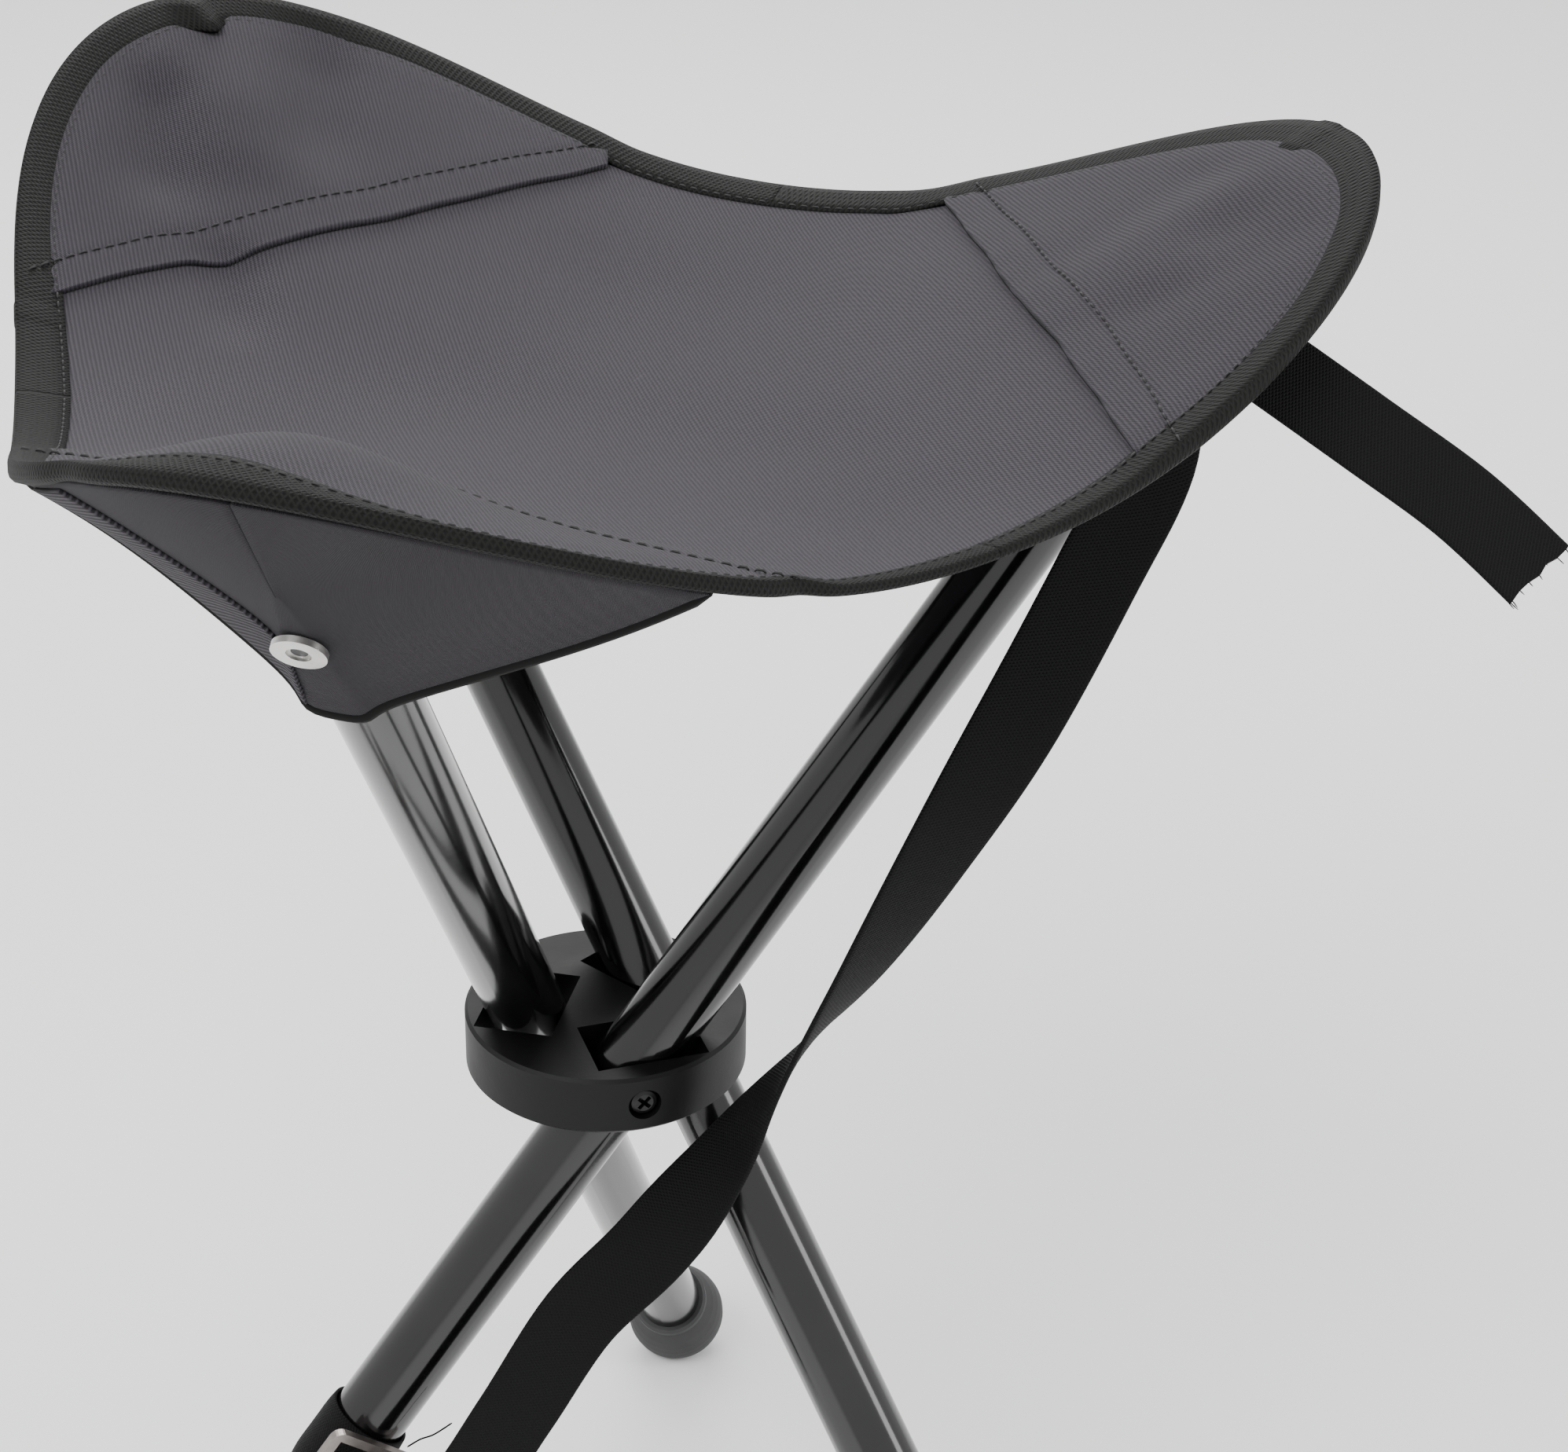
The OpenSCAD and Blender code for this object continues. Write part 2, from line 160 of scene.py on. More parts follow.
def eased(x):
    """From 0 to 1, level at both ends."""
    x = np.clip(x, 0, 1)
    return x * x * (3 - 2 * x)


def rounded(x, blunt):
    """The size of x, from 0 to 1, without the kink at 0."""
    least = math.sqrt(blunt)
    return (np.sqrt(x * x + blunt) - least) / (math.sqrt(1 + blunt) - least)


def folds(x, y):
    """How far the folds lift or sink the cloth at (x, y)."""
    height = np.zeros_like(x)
    here = np.stack([x, y], -1)
    for line, size, width in FOLDS:
        line = np.array(line, float)
        near, along, parts = np.full(x.shape, 1e9), np.zeros(x.shape), len(line) - 1
        for k, (a, b) in enumerate(zip(line[:-1], line[1:])):
            t = np.clip(((here - a) @ (b - a)) / ((b - a) @ (b - a)), 0, 1)
            gap = np.linalg.norm(here - a - t[..., None] * (b - a), axis=-1)
            along = np.where(gap < near, (k + t) / parts, along)
            near = np.minimum(near, gap)
        # A long fold dies away towards its inner end
        is_long = np.linalg.norm(line[-1] - line[0]) > LONG_FOLD
        fade = eased((1 - along) / FOLD_FADE) if is_long else 1
        height += size * fade * np.exp(-near ** 2 / (2 * width ** 2))
    return height


def nip(bearing, leg):
    """How far the rim is nipped in there."""
    depth = np.zeros_like(np.asarray(bearing, float))
    for name, angle, size, width in NIPS:
        if name == leg:
            depth = depth + size * np.exp(-((bearing - angle) / width) ** 2)
    return depth


def cloth(share, bearing, leg):
    """A point on the middle of the cloth, in millimetres, bearing degrees from leg's corner."""
    share, bearing = np.broadcast_arrays(np.asarray(share, float), np.asarray(bearing, float))
    r = share * rim_r(bearing)
    t = np.radians(CORNER_TURN + bearing + LEGS[leg])
    x, y = r * np.cos(t), r * np.sin(t)
    z = HUB_Z + SEAT_MIDDLE + (rim_z(bearing) - SEAT_MIDDLE) * share ** 2
    # It stands a little over each tube's end
    z = z + END_RISE * tube_end(x, y, (LEG_TOP - 8) * math.sin(OPEN), END_WIDTH)
    # Folds and slow waves die away at the rim, where the tape holds the cloth
    waves = 0.35 * np.sin(x * 0.071 + 1.3) * np.sin(y * 0.063 + 0.4)
    z = z + (folds(x, y) + waves) * eased((1.02 - share) / 0.16)
    return np.stack([x, y, z], -1)


def cloth_normal(share, bearing, leg):
    share, bearing = np.asarray(share), np.asarray(bearing)
    outward = cloth(share + 0.001, bearing, leg) - cloth(share - 0.001, bearing, leg)
    around = cloth(share, bearing + 0.2, leg) - cloth(share, bearing - 0.2, leg)
    n = np.cross(outward, around)
    n = n / np.maximum(np.linalg.norm(n, axis=-1, keepdims=True), 1e-9)
    return np.where(n[..., 2:3] < 0, -n, n)


def spun(points, angle):
    """Points turned about the hub's axis."""
    a = math.radians(angle)
    c, s = math.cos(a), math.sin(a)
    return points @ np.array([[c, s, 0], [-s, c, 0], [0, 0, 1]])


# ---- mesh helpers -----------------------------------------------------------

def make(name, points, faces, uv=None, smooth=True, normals=None):
    """An object from points in millimetres and flat coordinates in metres."""
    mesh = bpy.data.meshes.new(name)
    mesh.from_pydata((np.asarray(points) * MM).tolist(), [], faces)
    if uv is not None:
        chart = mesh.uv_layers.new(name="flat")
        loops = np.array([loop.vertex_index for loop in mesh.loops])
        chart.data.foreach_set("uv", np.asarray(uv)[loops].ravel())
    bm = bmesh.new()
    bm.from_mesh(mesh)
    bmesh.ops.recalc_face_normals(bm, faces=bm.faces)
    bm.to_mesh(mesh)
    bm.free()
    mesh.polygons.foreach_set("use_smooth", [smooth] * len(mesh.polygons))
    if normals is not None:
        mesh.normals_split_custom_set_from_vertices(normals.tolist())
    obj = bpy.data.objects.new(name, mesh)
    bpy.context.scene.collection.objects.link(obj)
    return obj


def layer(name, mid, normal, thick, uv, apex=None):
    """A closed thin sheet round a grid of middle points. An apex, which is a point
    and its normal, closes the first row, and then the grid's normals shade it."""
    n, m = mid.shape[:2]
    half = normal * (np.broadcast_to(thick, (n, m))[..., None] / 2)
    points = np.concatenate([(mid + half).reshape(-1, 3), (mid - half).reshape(-1, 3)])
    uvs = np.concatenate([uv.reshape(-1, 2)] * 2)

    def at(i, j, low=0):
        return low * n * m + i * m + j

    faces = []
    for i in range(n - 1):
        for j in range(m - 1):
            for low in (0, 1):
                faces.append((at(i, j, low), at(i, j + 1, low),
                              at(i + 1, j + 1, low), at(i + 1, j, low)))
    edge = [(n - 1, j) for j in range(m)]
    if apex is None:
        edge = ([(0, j) for j in range(m)] + [(i, m - 1) for i in range(1, n)]
                + [(n - 1, j) for j in range(m - 2, -1, -1)]
                + [(i, 0) for i in range(n - 2, 0, -1)])
        pairs = list(zip(edge, edge[1:] + edge[:1]))
    else:
        top, bottom = len(points), len(points) + 1
        points = np.concatenate([points, [apex[0] + apex[1] * PANEL_T / 2,
                                          apex[0] - apex[1] * PANEL_T / 2]])
        uvs = np.concatenate([uvs, [apex[0][:2] * MM] * 2])
        for j in range(m - 1):
            faces.append((top, at(0, j), at(0, j + 1)))
            faces.append((bottom, at(0, j, 1), at(0, j + 1, 1)))
        side = [(i, 0) for i in range(n)]
        far = [(i, m - 1) for i in range(n)]
        pairs = (list(zip(edge, edge[1:])) + list(zip(side, side[1:]))
                 + list(zip(far, far[1:])))
        faces += [(top, at(0, 0), at(0, 0, 1), bottom),
                  (top, at(0, m - 1), at(0, m - 1, 1), bottom)]
    for (i, j), (k, l) in pairs:
        faces.append((at(i, j), at(k, l), at(k, l, 1), at(i, j, 1)))
    normals = None
    if apex is not None:
        flat = normal.reshape(-1, 3)
        normals = np.concatenate([flat, -flat, [apex[1], -apex[1]]])
    return make(name, points, faces, uvs, normals=normals)


def grid_normal(mid):
    n = np.cross(np.gradient(mid, axis=0), np.gradient(mid, axis=1))
    return n / np.maximum(np.linalg.norm(n, axis=-1, keepdims=True), 1e-9)


def chart_of(mid):
    """Flat coordinates from the distances along a grid's rows and columns."""
    column = np.cumsum(np.linalg.norm(np.diff(mid, axis=1, prepend=mid[:, :1]), axis=-1), 1)
    row = np.cumsum(np.linalg.norm(np.diff(mid, axis=0, prepend=mid[:1]), axis=-1), 0)
    return np.stack([column, row], -1) * MM


def tubes(name, runs, radius, sides=6):
    """Short closed tubes, each along its own few points: stitches and threads."""
    points, faces = [], []
    for run in runs:
        run = np.asarray(run, float)
        ahead = np.gradient(run, axis=0)
        ahead /= np.linalg.norm(ahead, axis=1, keepdims=True)
        side = np.cross(ahead, [0.13, 0.21, 0.97])
        side /= np.linalg.norm(side, axis=1, keepdims=True)
        over = np.cross(ahead, side)
        base, count = len(points), len(run)
        for k in range(count):
            size = radius * (0.55 if k in (0, count - 1) else 1)
            for j in range(sides):
                t = 2 * math.pi * j / sides
                points.append(run[k] + size * (side[k] * math.cos(t) + over[k] * math.sin(t)))
        for k in range(count - 1):
            for j in range(sides):
                a, b = base + k * sides + j, base + k * sides + (j + 1) % sides
                faces.append((a, b, b + sides, a + sides))
        faces.append(tuple(base + j for j in range(sides)))
        faces.append(tuple(base + (count - 1) * sides + j for j in range(sides)))
    return make(name, points, faces)


def stitches(name, line, normal, pitch, size, radius):
    """A dashed line of stitches along a run of points, each dipping at its ends."""
    step = np.linalg.norm(np.diff(line, axis=0), axis=1)
    along = np.concatenate([[0], np.cumsum(step)])

    def at(distance, rows):
        return np.array([np.interp(distance, along, rows[:, k]) for k in range(3)])

    runs = []
    for start in np.arange(pitch / 2, along[-1] - size, pitch):
        runs.append([at(start + size * t, line) + at(start + size * t, normal) * h
                     for t, h in ((0, -0.25), (0.25, 0.2), (0.75, 0.2), (1, -0.25))])
    return tubes(name, runs, radius)


# ---- materials ---------------------------------------------------------------

class Paint:
    """A material's nodes, added one at a time."""

    def __init__(self, name, rough=0.5, metal=0.0, specular=0.5, sheen=0.0, coat=0.0):
        self.material = bpy.data.materials.new(name)
        self.material.use_nodes = True
        self.tree = self.material.node_tree
        self.shader = self.tree.nodes["Principled BSDF"]
        self.set("Roughness", rough)
        self.set("Metallic", metal)
        self.set("Specular IOR Level", specular)
        self.set("Sheen Weight", sheen)
        self.set("Coat Weight", coat)
        self.set("Coat Roughness", 0.08)

    def set(self, socket, value):
        self.shader.inputs[socket].default_value = value

    def node(self, kind, **values):
        node = self.tree.nodes.new("ShaderNode" + kind)
        for key, value in values.items():
            if key in node.inputs:
                node.inputs[key].default_value = value
            else:
                setattr(node, key, value)
        return node

    def link(self, a, b):
        self.tree.links.new(a, b)

    def place(self, source="Object", turn=0.0):
        coords = self.node("TexCoord")
        mapping = self.node("Mapping")
        mapping.inputs["Rotation"].default_value = (0, 0, turn)
        self.link(coords.outputs[source], mapping.inputs["Vector"])
        return mapping.outputs["Vector"]

    def noise(self, vector, scale, detail=3.0, rough=0.5):
        node = self.node("TexNoise", Scale=scale, Detail=detail, Roughness=rough)
        self.link(vector, node.inputs["Vector"])
        return node.outputs["Fac"]

    def wave(self, vector, scale, distort=0.0, direction="X"):
        node = self.node("TexWave", bands_direction=direction, Scale=scale,
                         Distortion=distort)
        self.link(vector, node.inputs["Vector"])
        return node.outputs["Fac"]

    def ramp(self, value, stops):
        node = self.node("ValToRGB")
        while len(node.color_ramp.elements) < len(stops):
            node.color_ramp.elements.new(0.5)
        for element, (place, colour) in zip(node.color_ramp.elements, stops):
            element.position = place
            element.color = (*colour, 1)
        self.link(value, node.inputs["Fac"])
        return node.outputs["Color"]

    def maths(self, operation, a, b):
        node = self.node("Math", operation=operation)
        for socket, value in zip(node.inputs, (a, b)):
            if isinstance(value, (int, float)):
                socket.default_value = value
            else:
                self.link(value, socket)
        return node.outputs[0]

    def mix(self, amount, a, b, kind="MIX"):
        node = self.node("MixRGB", blend_type=kind)
        for socket, value in zip(node.inputs, (amount, a, b)):
            if isinstance(value, (int, float)):
                socket.default_value = value
            else:
                self.link(value, socket)
        return node.outputs["Color"]

    def bump(self, height, strength, distance):
        node = self.node("Bump", Strength=strength, Distance=distance)
        self.link(height, node.inputs["Height"])
        self.link(node.outputs["Normal"], self.shader.inputs["Normal"])

    def colour(self, source):
        self.link(source, self.shader.inputs["Base Color"])

    def roughness(self, value, low, high):
        node = self.node("MapRange")
        node.inputs["To Min"].default_value = low
        node.inputs["To Max"].default_value = high
        self.link(value, node.inputs["Value"])
        self.link(node.outputs["Result"], self.shader.inputs["Roughness"])


def cloth_paint(name, light, dark, ribs=320):
    """Twill: diagonal ribs about a millimetre apart, with uneven yarns."""
    p = Paint(name, rough=0.85, specular=0.15, sheen=0.06)
    flat = p.place("UV")
    diagonal = p.wave(p.place("UV", turn=math.radians(3)), ribs, 0.9)
    yarn = p.wave(p.place("UV", turn=math.radians(48)), 620, 0.8, "Y")
    patchy = p.noise(flat, 22, 4, 0.6)
    fleck = p.noise(flat, 900, 2, 0.7)
    rib = p.maths("ADD", p.maths("MULTIPLY", diagonal, 0.7), p.maths("MULTIPLY", yarn, 0.3))
    body = p.ramp(rib, [(0.1, dark), (0.85, light)])
    body = p.mix(0.275, body, p.ramp(fleck, [(0.3, dark), (0.7, light)]))
    body = p.mix(0.35, body, p.ramp(patchy, [(0.3, (0.78,) * 3), (0.7, (1.0,) * 3)]),
                 "MULTIPLY")
    p.colour(body)
    p.roughness(fleck, 0.78, 0.95)
    p.bump(p.maths("ADD", rib, p.maths("MULTIPLY", fleck, 0.4)), 0.75, 0.0005)
    return p.material


def tape_paint(name, light, dark, ribs, shine):
    """Woven tape: ribs across it, broken into a fine chevron."""
    p = Paint(name, rough=0.75, specular=shine)
    slant = p.wave(p.place("UV", turn=math.radians(32)), ribs, 0.3)
    other = p.wave(p.place("UV", turn=math.radians(-32)), ribs, 0.3)
    fleck = p.noise(p.place("UV"), 1100, 2, 0.7)
    weave = p.maths("MAXIMUM", slant, other)
    p.colour(p.mix(0.3, p.ramp(weave, [(0.35, dark), (1.0, light)]),
                   p.ramp(fleck, [(0.35, dark), (0.7, light)])))
    p.roughness(fleck, 0.55, 0.8)
    p.bump(weave, 0.6, 0.0004)
    return p.material


def ribbed_paint(name, light, dark, ribs):
    """Cloth with plain ribs across its length."""
    p = Paint(name, rough=0.8, specular=0.15)
    rib = p.wave(p.place("UV"), ribs, 0.4)
    fleck = p.noise(p.place("UV"), 1100, 2, 0.7)
    p.colour(p.mix(0.2, p.ramp(rib, [(0.2, dark), (0.9, light)]),
                   p.ramp(fleck, [(0.35, dark), (0.7, light)])))
    p.roughness(fleck, 0.7, 0.9)
    p.bump(rib, 0.9, 0.0006)
    return p.material


def solid_paint(name, light, dark, rough, scale=60, grain=900, depth=0.00008, **kind):
    """Moulded, painted or bare: patchy colour, fine grain and faint scuffs."""
    p = Paint(name, rough=sum(rough) / 2, **kind)
    here = p.place("Object")
    patchy = p.noise(here, scale, 5, 0.6)
    fine = p.noise(here, grain, 3, 0.6)
    p.colour(p.ramp(patchy, [(0.35, dark), (0.7, light)]))
    p.roughness(patchy, *rough)
    p.bump(fine, 0.35, depth)
    return p.material


SEAT = cloth_paint("seat_cloth", (0.056, 0.0495, 0.061), (0.0135, 0.012, 0.015))
# The patches are darker than the seat: partly their own cloth's tone, partly painted shade
# where the light falls away from them.
PATCH = cloth_paint("patch_cloth_tone_and_shade", (0.05, 0.0445, 0.055), (0.012, 0.0107, 0.0133))
# The pockets are painted darker than the seat: painted shade for the shadow they lie in; the
# fine ribs are their weave.
POCKET = cloth_paint("pocket_cloth_painted_shade", (0.028, 0.025, 0.0302), (0.02, 0.0179, 0.0217),
                     ribs=900)
STRIP = ribbed_paint("ribbed_strip", (0.062, 0.056, 0.066), (0.014, 0.0127, 0.015), 230)
TAPE = tape_paint("binding_tape", (0.0085, 0.0087, 0.008), (0.0018, 0.0018, 0.0016),
                  260, 0.12)
WEB = tape_paint("webbing", (0.0035, 0.0035, 0.0038), (0.001, 0.001, 0.0011), 420, 0.12)
THREAD = solid_paint("thread", (0.012, 0.0112, 0.012), (0.006, 0.0056, 0.006), (0.6, 0.8))
TUBE = solid_paint("tube_paint", (0.003, 0.003, 0.0033), (0.0015, 0.0015, 0.0017),
                   (0.09, 0.2), 45, 500, 0.00002, coat=0.25)
HUB = solid_paint("hub_plastic", (0.0028, 0.0028, 0.003), (0.0014, 0.0014, 0.0015),
                  (0.45, 0.62), specular=0.22)
# Black for the pivot screws; the same black is painted shade in the rivets' hollows.
SCREW_AND_SHADE = solid_paint("black_screw", (0.03, 0.03, 0.03), (0.012, 0.012, 0.012), (0.25, 0.4),
                    metal=0.7)
CAP = solid_paint("cap_plastic", (0.04, 0.04, 0.04), (0.025, 0.025, 0.025), (0.4, 0.6))
FOOT = solid_paint("foot_rubber", (0.035, 0.035, 0.036), (0.018, 0.018, 0.019), (0.6, 0.85))
RIVET = solid_paint("rivet_metal", (0.72, 0.71, 0.69), (0.5, 0.49, 0.47), (0.18, 0.4),
                    metal=1.0)
BUCKLE = solid_paint("buckle_metal", (0.45, 0.4, 0.38), (0.2, 0.18, 0.17), (0.22, 0.45),
                     metal=1.0)


def paint(obj, material):
    obj.data.materials.clear()
    obj.data.materials.append(material)


def wear(obj, material):
    paint(obj, material)


def follow(obj):
    """Bakes a cloth piece's placement into its mesh."""
    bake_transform(obj)


# ---- seat ---------------------------------------------------------------------

def add_panel(leg):
    # The cloth ends this far inside the rim, within the tape
    shares = np.linspace(0, 1, 41)[1:] * (1 - 2.4 / RIM_R)
    share, bearing = np.meshgrid(shares, np.linspace(-SECTOR, SECTOR, 81), indexing="ij")
    share = share * (1 - nip(bearing, leg) / RIM_R * share ** 4)
    mid = cloth(share, bearing, leg)
    normal = cloth_normal(share, bearing, leg)
    centre = cloth(0.0, 0.0, "a")
    piece = layer("seat_sector_" + leg, mid, normal, PANEL_T, mid[..., :2] * MM,
                  apex=(centre, np.array([0.0, 0.0, 1.0])))
    wear(piece, SEAT)
    follow(piece)
    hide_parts("seat_panel")


def seam_at(bearing, leg):
    """How far a patch's seam is from the middle, square to the seam."""
    along = SEAM_REACH * np.tan(np.radians(bearing))
    return np.interp(along, *SEAMS[leg]) + 0.15 * np.sin(along * 0.21)


def seam_thread(leg):
    """The stitches beside a patch's seam."""
    bearing = np.linspace(-PATCH_SPREAD + 1, PATCH_SPREAD - 1, 90)
    share = (seam_at(bearing, leg) / np.cos(np.radians(bearing)) + SEAM_STITCH) / rim_r(bearing)
    normal = cloth_normal(share, bearing, leg)
    line = cloth(share, bearing, leg) + normal * (PANEL_T / 2 + LAYER_GAP + LAYER_T - 0.1)
    thread = stitches("seam_stitch_" + leg, line, normal, pitch=3.4, size=2.3, radius=0.3)
    wear(thread, THREAD)
    follow(thread)
    return thread


def add_patch(leg):
    rows, columns = 34, 101
    bearing = np.linspace(-PATCH_SPREAD, PATCH_SPREAD, columns)[None, :].repeat(rows, 0)
    outer = rim_r(bearing) - RIM_INSET - nip(bearing, leg)
    inner = seam_at(bearing, leg) / np.cos(np.radians(bearing))
    step = (np.linspace(0, 1, rows) ** 1.25)[:, None]
    share = (inner + (outer - inner) * step) / rim_r(bearing)
    from_seam, from_rim = step * (outer - inner), (1 - step) * (outer - inner)
    seam = np.clip(1 - from_seam / 9, 0, 1)
    # Under the tape the patch is pressed against the panel
    gap = LAYER_GAP * (0.1 + 0.9 * eased(from_rim / 12))
    lift = PANEL_T / 2 + gap + LAYER_T / 2 - 0.45 * seam
    lift = lift + 0.07 * seam * np.sin(bearing * 0.8 + LEGS[leg])
    # The stitches pull a groove into it
    groove = np.exp(-((from_seam - SEAM_STITCH) / 0.9) ** 2)
    normal = cloth_normal(share, bearing, leg)
    mid = cloth(share, bearing, leg) + normal * (lift - 0.3 * groove)[..., None]
    thick = LAYER_T + 0.5 * seam ** 0.5
    # Its weave starts elsewhere than the panel's, so the two don't run on
    piece = layer("corner_patch_piece_" + leg, mid, normal, thick,
                  mid[..., :2] * MM + 0.37)
    # Its darker colour is partly painted shade.
    wear(piece, PATCH)
    follow(piece)
    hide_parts("corner_patch_" + leg)
    seam_thread(leg)


# The tape's rise over a patch, where that starts and how fast it comes, in degrees
TAPE_RISE, RISE_AT, RISE_OVER = 1.05, 43, 6
# What an overlap adds to its thickness, and what the upturn adds to its width and
# height, and to the height of the stitches
LAP_T, UPTURN_WIDTH, UPTURN_HEIGHT, UPTURN_STITCH = 0.8, 2.5, 4.0, 3.4
# Its stitches run this far inside its edge and this high over the cloth
STITCH_IN, STITCH_HEIGHT = 1.3, 1.25


def add_binding(leg):
    bearing = np.linspace(-SECTOR, SECTOR, 181)
    r = rim_r(bearing)
    t = np.radians(CORNER_TURN + bearing + LEGS[leg])
    # It rises over the patch's edge
    rise = TAPE_RISE * eased((RISE_AT - abs(bearing)) / RISE_OVER)
    # Where the tape's two ends overlap, it stands a little prouder
    lap = LAP_T * np.clip(4 - abs(bearing - JOINTS.get(leg, 999)) * 2.4, 0, 1)
    turned = np.exp(-((bearing - UPTURN[0]) / UPTURN[1]) ** 2) * (1 if leg == "c" else 0)
    flap = np.interp(bearing + LEGS[leg], *FLAPS) + UPTURN_WIDTH * turned
    slim = np.interp(bearing + LEGS[leg], *SLIMS)
    slim_top = 0.4 + 0.6 * slim
    rows = []
    for inset, height, over_patch, part in TAPE_SECTION:
        depth = inset + flap * part
        height = height * (slim if height < 0 else slim_top) + UPTURN_HEIGHT * turned * part
        base = cloth(np.minimum((r - depth) / r, 1), bearing, leg)[:, 2]
        outward = 0.3 * lap * (1 if inset < 1 and part == 0 else 0)
        reach = r - depth - nip(bearing, leg) + outward
        rows.append(np.stack([reach * np.cos(t), reach * np.sin(t),
                              base + height + rise * over_patch + lap * (over_patch - 0.5)],
                             -1))
    mid = np.stack(rows)
    normal = grid_normal(mid)
    away = ((mid - mid.mean(axis=0, keepdims=True)) * normal).sum(-1).mean()
    normal = normal if away > 0 else -normal
    along = np.concatenate([[0], np.cumsum(np.linalg.norm(np.diff(mid[0], axis=0), axis=1))])
    girth = np.concatenate([[0], np.cumsum(np.linalg.norm(np.diff(mid[:, 0], axis=0),
                                                          axis=1))])
    uv = np.stack(np.broadcast_arrays(along[None, :], girth[:, None]), -1) * MM
    piece = layer("binding_tape_" + leg, mid - normal * TAPE_T / 2, normal, TAPE_T, uv)
    wear(piece, TAPE)
    follow(piece)
    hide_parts("edge_binding")
    share = (r - flap + STITCH_IN - nip(bearing, leg)) / r
    line = cloth(share, bearing, leg)
    line[:, 2] += STITCH_HEIGHT * slim_top + rise + UPTURN_STITCH * turned
    thread = stitches("binding_stitch_" + leg, line, cloth_normal(share, bearing, leg),
                      pitch=3.1, size=2.1, radius=0.27)
    wear(thread, THREAD)
    follow(thread)


# A pocket's grid: rows from its closed end to its mouth, and columns from the rim on
# one side, round the tube, to the rim on the other
POCKET_DOWN = np.linspace(0.0015, 1, 34)[:, None]
POCKET_ACROSS = np.linspace(-1, 1, 61)[None, :]
# How far its cloth bends round the tube, and how blunt its bends are
POCKET_ROUND, POCKET_BLUNT, SPINE_BLUNT = 0.16, 0.08, 0.0625
# How far it sags on its first side, where it is drawn up, and on its other, and how
# high its waves are
POCKET_SAG, POCKET_WAVE = (-14, 8), 2.4
# The ribbed strip's part of the grid, its thickness, and how far out its middle is
STRIP_PART, STRIP_T, STRIP_LIFT = (slice(19, 33), slice(1, 28)), 0.8, 0.95
# How much thicker the cloth is at its hem, and the radius of the hem's edge
HEM_T, HEM_R = 0.7, 1.7


def pocket_grid():
    """The middle of the cloth of corner a's pocket."""
    bearing = POCKET_SPREAD * POCKET_DOWN * np.sign(POCKET_ACROSS)
    reach = rim_r(bearing) - RIM_INSET
    turned = np.radians(CORNER_TURN + bearing)
    rim = np.stack([reach * np.cos(turned), reach * np.sin(turned),
                    HUB_Z + rim_z(bearing) - 1.9], -1)
    spine = HEM + (SPINE_START - HEM) * (1 - rounded(POCKET_DOWN, SPINE_BLUNT))
    low = np.stack(np.broadcast_arrays(
        spine * math.sin(OPEN) + SPINE_GAP * math.cos(OPEN), -TUBE_OFFSET,
        HUB_Z + spine * math.cos(OPEN) - SPINE_GAP * math.sin(OPEN)), -1)
    drop = 1 - rounded(POCKET_ACROSS, POCKET_BLUNT)
    mid = rim + (low - rim) * drop[..., None]
    # Near the spine the cloth follows one curve, not two flats
    first, last, u = rim[:, :1], rim[:, -1:], ((POCKET_ACROSS + 1) / 2)[..., None]
    bowl = first * (1 - u) ** 2 + (4 * low - first - last) * u * (1 - u) + last * u ** 2
    near = np.exp(-(POCKET_ACROSS / POCKET_ROUND) ** 2)[..., None]
    mid = mid * (1 - near) + bowl * near
    slack = POCKET_DOWN * drop * (1 - drop)
    waves = POCKET_WAVE * np.sin(9 * POCKET_DOWN + 5 * POCKET_ACROSS)
    mid[..., 2] -= (np.where(POCKET_ACROSS < 0, *POCKET_SAG) + waves) * slack + LAYER_T / 2
    return mid


def pocket_hem(leg, mid):
    """The corded edge of a pocket's mouth."""
    hem = tubes("pocket_hem_" + leg, [mid[-1]], HEM_R, 8)
    wear(hem, TAPE)
    follow(hem)
    return hem


def pocket_strip(leg, mid, normal, uv):
    """A ribbed strip along one side of a pocket's mouth."""
    part, out = mid[STRIP_PART], normal[STRIP_PART]
    tip = spun(np.array([LEG_TOP * math.sin(OPEN), -TUBE_OFFSET,
                         HUB_Z + LEG_TOP * math.cos(OPEN)]), LEGS[leg])
    out = out if ((part - tip) * out).sum() > 0 else -out
    strip = layer("pocket_strip_" + leg, part + out * STRIP_LIFT, out, STRIP_T,
                  uv[STRIP_PART])
    wear(strip, STRIP)
    follow(strip)
    return strip


def add_pocket(leg):
    mid = spun(pocket_grid(), LEGS[leg])
    normal = grid_normal(mid)
    uv = chart_of(mid)
    hem = np.clip((POCKET_DOWN - 0.9) / 0.03, 0, 1)
    piece = layer("corner_pocket_piece_" + leg, mid, normal, LAYER_T + HEM_T * hem, uv)
    # Its dark colour is painted shade.
    wear(piece, POCKET)
    follow(piece)
    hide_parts("corner_pocket_" + leg)
    pocket_hem(leg, mid)
    pocket_strip(leg, mid, normal, uv)


# ---- straps -------------------------------------------------------------------

